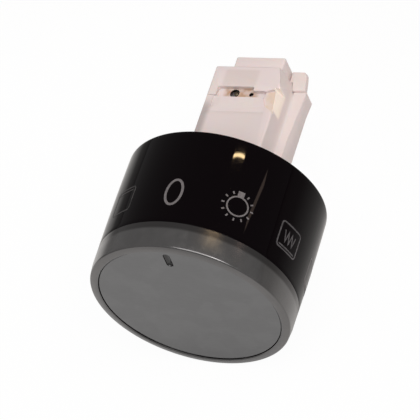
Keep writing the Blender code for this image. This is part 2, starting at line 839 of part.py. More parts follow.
def make_socket():
    """The block that takes the switch shaft, with the collar that closes the stem's back end."""
    half = cavity_half - GAP
    low = -cavity_top + GAP
    high = cavity_top - GAP
    step_y = stem_back - SHOULDER_BACK
    ledge = PIN_HEIGHT - PIN_RADIUS - GAP
    root_y = GAP - COLLAR_LENGTH
    side_profile = [
        (socket_front, low),
        (root_y, low),
        (root_y, high),
        (step_y, high),
        (step_y - SHOULDER_SLOPE, ledge),
        (socket_front, ledge),
    ]
    block = prism("shaft_socket", side_profile, "X", -half, half)
    height = COLLAR_HEIGHT / 2
    slope = COLLAR_SLOPE
    collar_outline = rounded(
        [
            (-COLLAR_LEFT, -height, slope),
            (COLLAR_RIGHT, -height, slope),
            (COLLAR_RIGHT, height, slope / 2),
            (-COLLAR_LEFT + slope, height, slope / 2),
            (-COLLAR_LEFT, height - 2 * slope, slope / 2),
        ]
    )
    join(block, prism("collar", collar_outline, "Y", -COLLAR_LENGTH, 0, STEM_EDGE))
    radius = SHAFT_RADIUS + SHAFT_GAP
    flat = SHAFT_FLAT + SHAFT_GAP
    turn = degrees(asin(flat / radius))
    d_outline = arc(0, 0, radius, -turn, 180 + turn, 20)
    pocket_half = CLIP_WIDTH / 2 + GAP
    pocket_low = -flat - CLIP_BOW - CLIP_THICKNESS - GAP
    pocket = box_outline(-pocket_half, pocket_half, pocket_low, 0)
    return cut(
        block,
        prism("shaft_bore", d_outline, "Y", -SHAFT_DEPTH, GAP),
        prism("clip_pocket", pocket, "Y", -SHAFT_DEPTH, GAP),
    )


def make_clip():
    """The bowed steel leaf that presses on the shaft's flat."""
    back = -CLIP_SET_IN
    front = -SHAFT_DEPTH + GAP
    crest = -SHAFT_FLAT - SHAFT_GAP
    steps = 10
    upper = []
    for i in range(steps + 1):
        share = i / steps
        upper.append((front + (back - front) * share, crest - CLIP_BOW * (2 * share - 1) ** 2))
    lower = [(y, z - CLIP_THICKNESS) for y, z in reversed(upper)]
    return prism("shaft_clip", upper + lower, "X", -CLIP_WIDTH / 2, CLIP_WIDTH / 2)


def make_pin():
    """The bent wire: its eye end turns up into the stem's top, its tip down into the track."""
    eye_top = half_height - WINDOW_SINK - 0.15 * MM
    tip_low = SLIDER_TOP - TRACK_DEPTH + GAP
    corners = [
        (PIN_X, pin_y, eye_top),
        (PIN_X, pin_y, PIN_HEIGHT),
        (PIN_X, tip_y, PIN_HEIGHT),
        (PIN_X, tip_y, tip_low),
    ]
    return wire("latch_pin", bent_path(corners, PIN_BEND), PIN_RADIUS, 2, (PIN_X, pin_y, 0))


def make_spring():
    """The return spring, with its two end turns closed up."""
    back = socket_front - GAP - SPRING_WIRE
    front = bore_bottom + GAP + SPRING_WIRE
    per_turn = 14
    closed = 2.3 * SPRING_WIRE
    pitch = (back - front - 2 * closed) / (SPRING_TURNS - 2)
    points = []
    for i in range(SPRING_TURNS * per_turn + 1):
        turns = i / per_turn
        run = closed * min(turns, 1) + pitch * min(max(turns - 1, 0), SPRING_TURNS - 2)
        run += closed * max(turns - SPRING_TURNS + 1, 0)
        across = SPRING_RADIUS * cos(2 * pi * turns)
        up = SPRING_RADIUS * sin(2 * pi * turns)
        points.append((across, front + run, up - SPRING_DROP))
    return wire("return_spring", points, SPRING_WIRE, 1)


def build():
    for old in list(bpy.data.objects):
        bpy.data.objects.remove(old, do_unlink=True)

    black = finish("gloss_black", (0.012, 0.008, 0.01), 0.12)
    mirror = finish("mirror_plating", (0.2, 0.2, 0.205), 0.08, 1.0)
    white = finish("white_moulding", (0.78, 0.7, 0.68), 0.45)
    grey = finish("grey_moulding", (0.035, 0.035, 0.037), 0.5)
    steel = finish("bright_steel", (0.6, 0.6, 0.6), 0.25, 1.0)

    knob = {
        make_skirt(): black,
        make_bezel(): mirror,
        make_face(): mirror,
        make_carrier(): grey,
        make_slider(): white,
        make_screw(): steel,
    }
    pin = make_pin()
    stem = {
        make_stem_upper(): white,
        make_stem_lower(): white,
        make_socket(): white,
        make_clip(): steel,
        make_spring(): steel,
    }
    for piece, material in {**knob, **stem, pin: steel}.items():
        piece.data.materials.append(material)
    carry(empty_at("press_axis", (0, web_back, 0)), *knob)
    carry(empty_at("pin_axis", (PIN_X, pin_y, PIN_HEIGHT)), pin)


build()
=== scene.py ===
# %% [markdown]
# # A retractable cooker knob, lying on its side
# A push-push knob has a printed barrel with a mirror cap, which slides over a white stem.
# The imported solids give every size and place, so each cell below only adds what the eye wants:
# fine edges, print, polish and a little grease. The first cell loads those solids and keeps
# the box that they fill, because the dressed knob may not grow out of it.

# %% Load the frame
from math import cos, pi, radians, sin, sqrt

import bmesh
import bpy
from mathutils import Matrix, Vector


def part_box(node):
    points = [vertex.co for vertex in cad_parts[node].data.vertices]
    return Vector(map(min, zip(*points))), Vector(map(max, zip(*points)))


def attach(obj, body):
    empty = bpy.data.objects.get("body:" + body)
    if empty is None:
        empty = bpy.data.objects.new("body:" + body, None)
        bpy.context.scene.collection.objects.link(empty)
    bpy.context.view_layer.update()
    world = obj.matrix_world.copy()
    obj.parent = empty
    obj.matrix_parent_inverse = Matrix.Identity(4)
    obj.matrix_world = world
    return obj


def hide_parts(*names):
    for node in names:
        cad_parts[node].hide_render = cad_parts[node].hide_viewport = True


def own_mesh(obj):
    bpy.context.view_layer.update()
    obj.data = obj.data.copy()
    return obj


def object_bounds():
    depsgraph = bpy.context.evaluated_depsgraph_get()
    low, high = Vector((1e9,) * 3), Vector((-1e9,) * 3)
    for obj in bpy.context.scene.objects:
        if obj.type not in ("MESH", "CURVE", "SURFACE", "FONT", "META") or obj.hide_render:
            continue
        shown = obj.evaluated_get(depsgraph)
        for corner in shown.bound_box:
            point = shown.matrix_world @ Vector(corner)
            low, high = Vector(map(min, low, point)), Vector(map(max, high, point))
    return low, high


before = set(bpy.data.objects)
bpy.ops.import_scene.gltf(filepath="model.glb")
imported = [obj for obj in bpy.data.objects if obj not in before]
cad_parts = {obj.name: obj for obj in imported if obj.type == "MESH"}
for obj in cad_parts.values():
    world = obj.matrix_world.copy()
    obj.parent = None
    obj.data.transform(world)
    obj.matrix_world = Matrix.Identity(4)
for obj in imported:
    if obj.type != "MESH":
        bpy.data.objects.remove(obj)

MM = 0.001


def reach(node):
    """A node's box in millimetres: (low x, y, z), (high x, y, z)."""
    low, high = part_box(node)
    return [v / MM for v in low], [v / MM for v in high]


cad_box = [list(corner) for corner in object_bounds()]
print("CAD box in mm:", [[round(v / MM, 2) for v in corner] for corner in cad_box])

# %% [markdown]
# ## Where the camera stands
# A camera can be placed by eye, or worked out from the picture. Here three angles and a
# distance were found from the two ends of the barrel, which the picture shows as ellipses.
# The roll turns the camera about its own line of sight, which is why the knob leans.

# %% Camera
VIEW_AZIMUTH = radians(38.68)
VIEW_ELEVATION = radians(48.39)
VIEW_ROLL = radians(-28.17)
VIEW_DISTANCE = 595.3 * MM
AIM = Vector((1.92, -40.13, 8.19)) * MM
LENS_LENGTH = 257.1  # millimetres, on a 36 mm sensor

towards_camera = Vector((
    sin(VIEW_AZIMUTH) * cos(VIEW_ELEVATION),
    -cos(VIEW_AZIMUTH) * cos(VIEW_ELEVATION),
    sin(VIEW_ELEVATION),
))
camera_data = bpy.data.cameras.new("camera")
camera_data.lens = LENS_LENGTH
camera_data.sensor_width = 36.0
camera_data.clip_start = 0.05
camera = bpy.data.objects.new("camera", camera_data)
upright = towards_camera.to_track_quat("Z", "Y").to_matrix()
camera.matrix_world = (
    Matrix.Translation(AIM + towards_camera * VIEW_DISTANCE)
    @ (upright @ Matrix.Rotation(VIEW_ROLL, 3, "Z")).to_4x4()
)
bpy.context.scene.collection.objects.link(camera)
bpy.context.scene.camera = camera
print("camera in mm:", [round(v / MM, 1) for v in camera.matrix_world.translation])

# %% [markdown]
# ## Shader maths as plain sums
# A material's node tree grows long when each Math node takes four lines. This small class
# wraps one output socket, so that `1 - mask * 0.5` builds the nodes that it names.
# Any other node comes from `Finish.node`, which takes its type, settings and inputs.

# %% A value and a finish
class Value:
    """One output of a node. Sums and products of values add Math nodes."""

    def __init__(self, finish, socket):
        self.finish = finish
        self.socket = socket

    def maths(self, operation, first, second):
        """A Math node on two values or numbers."""
        inputs = {0: first, 1: second}
        return self.finish.node("ShaderNodeMath", {"operation": operation}, inputs)

    def __add__(self, other):
        return self.maths("ADD", self, other)

    __radd__ = __add__

    def __sub__(self, other):
        return self.maths("SUBTRACT", self, other)

    def __rsub__(self, other):
        return self.maths("SUBTRACT", other, self)

    def __mul__(self, other):
        return self.maths("MULTIPLY", self, other)

    __rmul__ = __mul__


class Finish:
    """A material with one Principled shader, and short words for the nodes that feed it."""

    def __init__(self, name, constants):
        self.material = bpy.data.materials.new(name)
        self.material.use_nodes = True
        self.tree = self.material.node_tree
        self.shader = self.tree.nodes["Principled BSDF"]
        for socket, value in constants.items():
            self.set(socket, value)

    def node(self, kind, settings=None, inputs=None, output=0):
        """Any node, with its settings made first and then its inputs fed. Gives one output."""
        made = self.tree.nodes.new(kind)
        for key, value in (settings or {}).items():
            setattr(made, key, value)
        for key, value in (inputs or {}).items():
            self.feed(made.inputs[key], value)
        return Value(self, made.outputs[output])

    def feed(self, socket, value):
        """Link a value to a socket, or write a number or colour on it."""
        if isinstance(value, Value):
            self.tree.links.new(value.socket, socket)
        elif socket.type == "RGBA" and len(value) == 3:
            socket.default_value = (*value, 1.0)
        else:
            socket.default_value = value

    def set(self, socket, value):
        """Feed one of the shader's own sockets."""
        self.feed(self.shader.inputs[socket], value)

    def place(self):
        """The point in the knob's own frame, in millimetres."""
        here = self.node("ShaderNodeTexCoord", output="Object")
        settings = {"operation": "SCALE"}
        return self.node("ShaderNodeVectorMath", settings, {0: here, "Scale": 1 / MM})

    def stretched(self, x, y, z):
        """The place with each axis scaled by itself, for grain that runs one way."""
        settings = {"operation": "MULTIPLY"}
        return self.node("ShaderNodeVectorMath", settings, {0: self.place(), 1: (x, y, z)})

    def split(self, vector):
        """A vector's three numbers."""
        made = self.node("ShaderNodeSeparateXYZ", inputs={0: vector})
        outputs = made.socket.node.outputs
        return [Value(self, outputs[i]) for i in range(3)]

    def noise(self, vector, scale, detail=3.0):
        """Cloudy noise between about 0.3 and 0.7; the scale is spots per millimetre."""
        return self.node("ShaderNodeTexNoise", inputs={"Vector": vector, "Scale": scale, "Detail": detail})

    def rise(self, value, low, high):
        """0 below low, 1 above high and a smooth climb between. Low may lie above high."""
        settings = {"interpolation_type": "SMOOTHSTEP"}
        inputs = {"Value": value, "From Min": low, "From Max": high}
        return self.node("ShaderNodeMapRange", settings, inputs)

    def between(self, value, low, high, soft):
        """1 from low to high, with soft borders."""
        return self.rise(value, low - soft, low + soft) * self.rise(value, high + soft, high - soft)

    def mix(self, mask, first, second):
        """Two colours blended by a mask."""
        settings = {"data_type": "RGBA"}
        return self.node("ShaderNodeMix", settings, {0: mask, 6: first, 7: second}, output=2)

    def bump(self, height, depth):
        """Bumps of a depth in millimetres on the shader's normal."""
        inputs = {"Height": height, "Distance": depth * MM, "Strength": 1.0}
        self.set("Normal", self.node("ShaderNodeBump", inputs=inputs))


print("shader words ready")

# %% [markdown]
# ## Floor, room and lamps
# The knob lies in a soft room light, with a broad lamp above it on the right and a smaller,
# brighter one within that. Two small warm lamps stand behind it: what a gloss surface
# mirrors of a small lamp is a glint, and the glint has the lamp's shape. The camera sees
# the floor as nearly white, with a faint shadow. Its paint gets greyer away from the knob,
# painted shade for light that falls off, so that the plating shows no hard horizon.

# %% Floor
FLOOR_SIZE = 3.0
FLOOR_COLOUR = (0.88, 0.88, 0.88)
# The floor's paint is palest beside the cap and greyer away from it: painted light and shade for light that
# falls off.
FLOOR_FAR_SHADE = (0.35, 0.35, 0.35)
PALE_MIDDLE = -50.0  # millimetres: the palest spot lies beside the cap, on its left
FLOOR_NEAR = 60.0  # from that spot to where the paint starts to get greyer
FLOOR_FAR = 170.0  # and to where it has its far colour
WHITE_SHARE = 0.96  # how much of the floor's look, for the camera, is plain white

floor_mesh = bpy.data.meshes.new("floor")
half = FLOOR_SIZE / 2
floor_z = cad_box[0][2]
floor_mesh.from_pydata(
    [(-half, -half, floor_z), (half, -half, floor_z), (half, half, floor_z), (-half, half, floor_z)],
    [],
    [(0, 1, 2, 3)],
)
floor = bpy.data.objects.new("floor", floor_mesh)
bpy.context.scene.collection.objects.link(floor)

paper = Finish("pale_paper", {"Roughness": 0.9})
painted_light_spot = (PALE_MIDDLE, cad_box[0][1] / MM, floor_z / MM)
away = paper.node(
    "ShaderNodeVectorMath", {"operation": "DISTANCE"}, {0: paper.place(), 1: painted_light_spot}, output=1
)
paper.set("Base Color", paper.mix(paper.rise(away, FLOOR_NEAR, FLOOR_FAR), FLOOR_COLOUR, FLOOR_FAR_SHADE))
seen = paper.node("ShaderNodeLightPath", output="Is Camera Ray")
glow = paper.node("ShaderNodeEmission", inputs={"Color": (1.0, 1.0, 1.0, 1.0), "Strength": 1.0})
shown = paper.node(
    "ShaderNodeMixShader",
    inputs={0: seen * WHITE_SHARE, 1: Value(paper, paper.shader.outputs[0]), 2: glow},
)
paper.feed(paper.tree.nodes["Material Output"].inputs["Surface"], shown)
floor_mesh.materials.append(paper.material)
print("floor at z =", round(floor_z / MM, 2), "mm")

# %% Room light
ROOM_LIGHT = 0.45
SOFT_WHITE = (1.0, 0.985, 0.975)

room = bpy.data.worlds.new("room")
room.use_nodes = True
room.node_tree.nodes["Background"].inputs["Color"].default_value = (*SOFT_WHITE, 1.0)
room.node_tree.nodes["Background"].inputs["Strength"].default_value = ROOM_LIGHT
bpy.context.scene.world = room
bpy.context.scene.view_settings.view_transform = "Standard"
print("room light:", ROOM_LIGHT)


# %% Lamps
def lamp(name, side, distance, size, power, colour=SOFT_WHITE, long_way=(1.0, 0.0, 0.0)):
    """A lamp of (length, width) that looks at the knob from a side. Its length runs along long_way."""
    data = bpy.data.lights.new(name, "AREA")
    data.shape = "RECTANGLE"
    data.size, data.size_y = size
    data.energy = power
    data.color = colour
    made = bpy.data.objects.new(name, data)
    towards = Vector(side).normalized()
    along = Vector(long_way)
    along = (along - towards * along.dot(towards)).normalized()
    turn = Matrix((along, towards.cross(along), towards)).transposed()
    made.matrix_world = Matrix.Translation(AIM + towards * distance) @ turn.to_4x4()
    bpy.context.scene.collection.objects.link(made)


lamp("key_lamp", side=(0.38, -0.28, 0.88), distance=0.9, size=(0.9, 0.9), power=6.2)
lamp("spark_lamp", side=(0.58, -0.3, 0.76), distance=0.9, size=(0.2, 0.2), power=0.8)
lamp(
    "warm_lamp",
    side=(0.39, 0.5555, 0.7343),
    distance=0.71,
    size=(0.125, 0.004),
    power=0.34,
    colour=(1.0, 0.72, 0.38),
    long_way=(0.872, 0.002, -0.489),
)
lamp(
    "streak_lamp",
    side=(0.7515, 0.5119, 0.4162),
    distance=0.71,
    size=(0.074, 0.022),
    power=0.028,
    colour=(1.0, 0.74, 0.6),
    long_way=(-0.126, -0.605, 0.787),
)

# %% [markdown]
# ## Gloss black for the barrel
# The barrel is moulded in glossy black plastic. Its colour is almost nothing, so all that
# shows is what it mirrors. Dust and fine wiping marks belong in the roughness, and a very
# shallow waviness of the moulding belongs in the bump.

# %% Gloss black
DEEP_BLACK = (0.0016, 0.0006, 0.0011)
DUST = (0.03, 0.028, 0.027)

black = Finish("gloss_black_moulding", {"Specular IOR Level": 0.06})
wiping = black.noise(black.stretched(1.0, 6.0, 1.0), 0.35)
dust = black.rise(black.noise(black.place(), 9.0, 1.0), 0.72, 0.78)
black.set("Roughness", 0.012 + wiping * 0.025 + dust * 0.2)
black.set("Base Color", black.mix(dust * 0.3, DEEP_BLACK, DUST))
black.bump(black.noise(black.place(), 0.16, 1.0), 0.003)
print("finish:", black.material.name)

# %% [markdown]
# ## Pad print
# The signs are printed in light grey ink, a few hundredths of a millimetre thick. Ink laid
# by a soft pad is never quite even, so its colour varies a little. Two of the signs have a
# fainter ink each, one fainter still.

# %% Grey ink
def print_ink(name, thin, thick):
    """Printed ink, between a thin and a thick colour."""
    made = Finish(name, {"Specular IOR Level": 0.3})
    patchy = made.rise(made.noise(made.place(), 2.2), 0.3, 0.7)
    made.set("Base Color", made.mix(patchy, thin, thick))
    made.set("Roughness", 0.4 + patchy * 0.15)
    made.bump(made.noise(made.place(), 6.0), 0.01)
    return made


ink = print_ink("grey_ink", (0.115, 0.103, 0.107), (0.155, 0.143, 0.147))
faint_ink = print_ink("faint_ink", (0.045, 0.041, 0.044), (0.085, 0.079, 0.083))
faintest_ink = print_ink("faintest_ink", (0.008, 0.007, 0.0075), (0.05, 0.046, 0.047))
print("finishes:", ink.material.name, faint_ink.material.name, faintest_ink.material.name)

# %% [markdown]
# ## Dark mirror
# The cap is plated plastic, a mirror that gives back only about a seventh of the light. A
# metal's base colour is what it reflects, so the colour here is that dark grey. Faint
# smudges blur it in patches, and the plating follows the slight waves of the moulding.

# %% Mirror plating
def dark_mirror(name, colour, blur):
    """Plating with finger smudges."""
    plating = Finish(name, {"Metallic": 1.0})
    cloud = plating.rise(plating.noise(plating.place(), 0.22), 0.42, 0.62)
    wiping = plating.rise(plating.noise(plating.stretched(1.0, 1.0, 5.0), 0.5), 0.45, 0.7)
    haze = cloud * 0.6 + wiping * 0.4
    paler = tuple(c * 1.1 for c in colour)
    plating.colour = plating.mix(haze, colour, paler)
    plating.rough = blur + haze * 0.08
    plating.set("Base Color", plating.colour)
    plating.set("Roughness", plating.rough)
    plating.bump(plating.noise(plating.place(), 0.12, 1.0), 0.012)
    return plating


ring_plating = dark_mirror("ring_plating", (0.148, 0.145, 0.145), 0.19)
face_plating = dark_mirror("face_plating", (0.152, 0.152, 0.153), 0.045)

# %% [markdown]
# ## Where the mirror is darker
# The ring is painted darker where it meets the barrel, as painted shade in that corner, and
# the pointer's gouge is painted dark, as painted shade in the recess. Each could be a piece
# of its own, but a mask on the place along the axis needs no new edge.

# %% Painted shade on the ring and in the pointer
RING_CORNER_SHADE = (0.07, 0.067, 0.067)
POINTER_SHADE = (0.06, 0.06, 0.06)

# Painted shade: the ring is painted darker in its band next to the barrel.
ring_along = ring_plating.split(ring_plating.place())[1]
barrel_end = reach("skirt")[0][1]
thin = ring_plating.rise(ring_along, barrel_end - 0.4, barrel_end + 0.3)
ring_plating.set("Base Color", ring_plating.mix(thin, ring_plating.colour, RING_CORNER_SHADE))

# Painted shade: the pointer's gouge is painted dark below the face's front.
face_depth = face_plating.split(face_plating.place())[1]
plate_front = reach("face_plate")[0][1]
gouge_shade = face_plating.rise(face_depth, plate_front + 0.02, plate_front + 0.1)
face_plating.set("Base Color", face_plating.mix(gouge_shade, face_plating.colour, POINTER_SHADE))
face_plating.set("Roughness", face_plating.rough + gouge_shade * 0.08)
print("finishes:", ring_plating.material.name, face_plating.material.name)

# %% [markdown]
# ## White acetal
# The stem is moulded in white acetal, which ages to a slightly pink ivory. It is a little
# milky, so light spreads below its surface. A plain white would look like paint, so slow
# clouds mix two whites, and a fine speckle makes the skin.

# %% White acetal
PINK_WHITE = (0.715, 0.62, 0.62)
WARM_WHITE = (0.715, 0.63, 0.61)


def acetal(name):
    """Aged white moulding: cloudy colour, satin gloss and a fine skin."""
    made = Finish(
        name,
        {"Specular IOR Level": 0.45, "Subsurface Weight": 0.12, "Subsurface Scale": 1.5 * MM},
    )
    cloud = made.rise(made.noise(made.place(), 0.18), 0.3, 0.7)
    speckle = made.noise(made.place(), 1.6, 4.0)
    made.colour = made.mix(cloud, PINK_WHITE, WARM_WHITE)
    made.rough = 0.36 + speckle * 0.16
    made.set("Base Color", made.colour)
    made.set("Roughness", made.rough)
    made.bump(speckle, 0.015)
    return made


plain_acetal = acetal("white_acetal")
print("finish:", plain_acetal.material.name)

# %% [markdown]
# ## Grease, painted light and shade on the stem's top
# Grease from the sliding parts has crept into the sunk places of the stem's top. Its left
# front edge and the place behind the window are darker. The notch's flank is painted paler,
# a painted highlight, and the holes in the window are painted nearly black, painted shade
# with old grease in it. Marks like these could be painted by hand, but masks made from place,
# height and slope can be read and changed: a product of masks is the place where all of them hold.

# %% Greasy acetal, with painted light and shade
WINDOW_GREASE = (0.42, 0.22, 0.09)
GROOVE_GREASE = (0.68, 0.5, 0.33)
HOLE_SHADE_AND_GREASE = (0.01, 0.007, 0.005)
DARKER_LEFT_FRONT = (0.46, 0.40, 0.395)
DARKER_BEHIND_WINDOW = (0.63, 0.54, 0.52)
PAINTED_LIGHT_FLANK = (0.93, 0.82, 0.73)
WINDOW_ACROSS = (-4.4, 2.9)  # each pair is a stretch in millimetres
WINDOW_ALONG = (-11.4, -8.4)
GROOVE_ACROSS = (5.3, 8.3)
GROOVE_ALONG = (-15.8, -9.4)
BEHIND_WINDOW_ACROSS = (-5.2, 2.3)
BEHIND_WINDOW_ALONG = (-8.6, -4.4)
FLANK_ALONG = (-14.2, -8.6)

stem_low, stem_high = reach("stem_upper")
stem_top = stem_high[2]
grease_and_painted_light = acetal("acetal_grease_and_painted_light")
across, along, height = grease_and_painted_light.split(grease_and_painted_light.place())
normal = grease_and_painted_light.node("ShaderNodeNewGeometry", output="Normal")
level = grease_and_painted_light.rise(grease_and_painted_light.split(normal)[2], 0.8, 0.97)
smear = 0.45 + grease_and_painted_light.rise(grease_and_painted_light.noise(grease_and_painted_light.place(), 0.6, 1.0), 0.35, 0.65) * 0.55
sunk = grease_and_painted_light.rise(height, stem_top - 0.3, stem_top - 0.6)
in_window = grease_and_painted_light.between(across, *WINDOW_ACROSS, 0.7) * grease_and_painted_light.between(along, *WINDOW_ALONG, 0.2)
in_groove = grease_and_painted_light.between(across, *GROOVE_ACROSS, 0.5) * grease_and_painted_light.between(along, *GROOVE_ALONG, 0.4)
# Painted shade with old grease: the holes in the window are painted nearly black below the top.
in_holes = grease_and_painted_light.rise(height, stem_top - 1.06, stem_top - 1.16) * in_window
# The left front edge is painted darker.
darker_left_front = grease_and_painted_light.rise(across, -5.6, -7.0) * grease_and_painted_light.rise(along, -11.0, -14.5)
# The place behind the window is painted darker.
behind_window = grease_and_painted_light.between(across, *BEHIND_WINDOW_ACROSS, 0.5) * grease_and_painted_light.between(along, *BEHIND_WINDOW_ALONG, 0.4) * level
# Painted highlight: the notch's flank is painted paler, as if lit.
flank = grease_and_painted_light.between(along, *FLANK_ALONG, 0.5) * grease_and_painted_light.rise(across, 6.5, 7.0) * (1 - level)
pale = flank * grease_and_painted_light.rise(height, stem_top - 4.2, stem_top - 3.0)
colour = grease_and_painted_light.mix(pale, grease_and_painted_light.colour, PAINTED_LIGHT_FLANK)
colour = grease_and_painted_light.mix(darker_left_front, colour, DARKER_LEFT_FRONT)
colour = grease_and_painted_light.mix(behind_window * 0.8, colour, DARKER_BEHIND_WINDOW)
colour = grease_and_painted_light.mix(sunk * in_window * smear * (0.4 + level * 0.35), colour, WINDOW_GREASE)
colour = grease_and_painted_light.mix(sunk * in_groove * level * smear * 0.6, colour, GROOVE_GREASE)
grease_and_painted_light.set("Base Color", grease_and_painted_light.mix(in_holes, colour, HOLE_SHADE_AND_GREASE))
grease_and_painted_light.set("Roughness", grease_and_painted_light.rough - sunk * in_window * smear * 0.2)
print("stem's top at", round(stem_top, 2), "mm")

# %% [markdown]
# ## Satin grey and bright steel
# The carrier inside the barrel is a plain satin moulding, with the even, fine texture of a
# sparked mould. The wires and the screw are drawn steel, so their marks run along them. The
# latch pin's steel is dark, painted shade for the deep hole it sits in, with oil on it.

# %% Satin moulding and steel
satin = Finish("satin_moulding", {"Base Color": (0.035, 0.035, 0.037)})
sparked = satin.noise(satin.place(), 7.0, 2.0)
satin.set("Roughness", 0.42 + sparked * 0.2)
satin.bump(sparked, 0.03)


def drawn_steel(name, dark, light, blur):
    """Drawn wire, its marks along the knob's axis."""
    made = Finish(name, {"Metallic": 1.0})
    drawn = made.noise(made.stretched(9.0, 0.8, 9.0), 1.0)
    made.set("Roughness", blur + drawn * 0.2)
    made.set("Base Color", made.mix(drawn, dark, light))
    made.bump(drawn, 0.008)
    return made


steel = drawn_steel("drawn_steel", (0.5, 0.49, 0.48), (0.64, 0.63, 0.62), 0.16)
# The pin's dark steel is painted shade for its deep hole, and oil.
oily_shaded_steel = drawn_steel("oily_shaded_steel", (0.1, 0.08, 0.055), (0.16, 0.135, 0.1), 0.34)
print("finishes:", satin.material.name, steel.material.name, oily_shaded_steel.material.name)

# %% [markdown]
# ## Tools for the meshes
# Nearly every piece here is turned about the knob's axis or swept along a line. One helper
# spins a closed profile, and another sweeps a round section. Both make closed meshes, so
# the pieces can also be used away from this scene.

# %% Mesh tools
SHARP_ANGLE = 32  # degrees: an edge that turns more than this stays sharp
DOME = (0.35, 0.8, 1.0)  # shares of a wire's radius, in the rings of its domed end


def arc(cx, cy, radius, start, end, steps):
    """Points on an arc from one angle to another, in degrees."""
    angles = [radians(start + (end - start) * i / steps) for i in range(steps + 1)]
    return [(cx + radius * cos(a), cy + radius * sin(a)) for a in angles]


def new_piece(name, bm, body, finish):
    """An object from a bmesh, smooth but for its sharp edges, that rides on a body."""
    bmesh.ops.recalc_face_normals(bm, faces=bm.faces)
    mesh = bpy.data.meshes.new(name)
    bm.to_mesh(mesh)
    bm.free()
    mesh.shade_smooth()
    mesh.set_sharp_from_angle(angle=radians(SHARP_ANGLE))
    piece = bpy.data.objects.new(name, mesh)
    bpy.context.scene.collection.objects.link(piece)
    mesh.materials.append(finish.material)
    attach(piece, body)
    return piece


def spun(profile, steps):
    """A bmesh of a closed profile of (radius, y), in millimetres, turned about the knob's axis."""
    bm = bmesh.new()
    rings = []
    for k in range(steps):
        angle = 2 * pi * k / steps
        rings.append([bm.verts.new((r * sin(angle) * MM, y * MM, r * cos(angle) * MM)) for r, y in profile])
    for k in range(steps):
        here, there = rings[k], rings[(k + 1) % steps]
        for i in range(len(profile)):
            j = (i + 1) % len(profile)
            bm.faces.new((here[i], here[j], there[j], there[i]))
    return bm


def swept(path, radius, sides):
    """A bmesh of a round wire along a path of points in millimetres, with domed ends."""
    bm = bmesh.new()
    path = [Vector(p) for p in path]
    side = Vector((1, 0, 0)).cross(path[1] - path[0])
    if side.length < 1e-6:
        side = Vector((0, 0, 1))
    rings = []
    for i, point in enumerate(path):
        along = (path[min(i + 1, len(path) - 1)] - path[max(i - 1, 0)]).normalized()
        side = (side - along * side.dot(along)).normalized()
        other = along.cross(side)
        ends = DOME[-1:]
        if i == 0:
            ends = DOME
        if i == len(path) - 1:
            ends = DOME[::-1]
        outward = -along if i == 0 else along
        for share in ends:
            middle = point + outward * (radius * (1 - share) * 0.5)
            ring = []
            for k in range(sides):
                turn = 2 * pi * k / sides
                spot = middle + (side * cos(turn) + other * sin(turn)) * radius * share
                ring.append(bm.verts.new(spot * MM))
            rings.append(ring)
    for low, high in zip(rings, rings[1:]):
        for k in range(sides):
            j = (k + 1) % sides
            bm.faces.new((low[k], low[j], high[j], high[k]))
    bm.faces.new(rings[0][::-1])
    bm.faces.new(rings[-1])
    return bm


print("mesh tools ready")

# %% [markdown]
# ## The barrel
# The barrel is a thin tube, open at the back where the stem comes out. It could be a plain
# cylinder, but a tube with a sharp rim would look like paper, so each rim gets a real round.
# Its side swells by a tenth of a millimetre in the middle, too little to see, yet on a dead
# straight side a glint would run out along the whole barrel.
# Its radius stays three hundredths short of the solid's, which leaves room for the ink.

# %% Barrel
INK_THICKNESS = 0.03
BARREL_WALL = 1.8
BARREL_ROUND = 0.55  # of the back edge
FRONT_ROUND = 0.06
BORE_FRONT_ROUND = 0.1
BORE_BACK_ROUND = 0.3
BARREL_STEPS = 288
BARREL_SWELL = 0.1
SIDE_STEPS = 24
RING_SEAM = 0.03
WEB_THICKNESS = 2.0
LEDGE_GAP = 0.3  # from the carrier's web to the ledge that holds it
LEDGE_LENGTH = 1.0
LEDGE_WIDTH = 1.6

skirt_high = reach("skirt")[1]
barrel_radius = skirt_high[0] - INK_THICKNESS
barrel_back = skirt_high[1]
barrel_front = reach("bezel_ring")[1][1] + RING_SEAM
bore = barrel_radius - BARREL_WALL
ledge_front = reach("carrier")[0][1] + WEB_THICKNESS + LEDGE_GAP
ledge_back = ledge_front + LEDGE_LENGTH
side_back, side_front = barrel_back - BARREL_ROUND, barrel_front + FRONT_ROUND


def barrel_at(y):
    """The barrel's outer radius at a place along it."""
    middle = (side_back + side_front) / 2
    share = (y - middle) / (side_back - middle)
    return barrel_radius - BARREL_SWELL * share * share


end_radius = barrel_at(side_back)
side = [side_back + (side_front - side_back) * k / SIDE_STEPS for k in range(1, SIDE_STEPS)]
profile = [
    *arc(end_radius - BARREL_ROUND, side_back, BARREL_ROUND, 90, 0, 6),
    *[(barrel_at(y), y) for y in side],
    *arc(end_radius - FRONT_ROUND, side_front, FRONT_ROUND, 0, -90, 3),
    *arc(bore + BORE_FRONT_ROUND, barrel_front + BORE_FRONT_ROUND, BORE_FRONT_ROUND, -90, -180, 2),
    (bore, ledge_front),
    (bore - LEDGE_WIDTH, ledge_front),
    (bore - LEDGE_WIDTH, ledge_back),
    (bore, ledge_back + LEDGE_WIDTH),
    *arc(bore + BORE_BACK_ROUND, barrel_back - BORE_BACK_ROUND, BORE_BACK_ROUND, 180, 90, 4),
]
barrel = new_piece("barrel", spun(profile, BARREL_STEPS), "knob", black)
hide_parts("skirt")
print("barrel:", len(barrel.data.polygons), "faces, radius", round(barrel_radius, 2), "mm")

# %% [markdown]
# ## The signs
# Ten signs stand round the barrel, one for each place of the switch: off, lamp, and plain
# oven signs. Each is drawn flat, as strokes with a width, and then wrapped on the barrel,
# where a step across becomes an angle. Real geometry keeps the strokes crisp in any view.

# %% Strokes
SIGN_Y = -45.15
SIGN_COUNT = 10
THIN = 0.32  # the width of most strokes
WRAP_STEP = 0.5  # the longest piece of a stroke that may stay straight


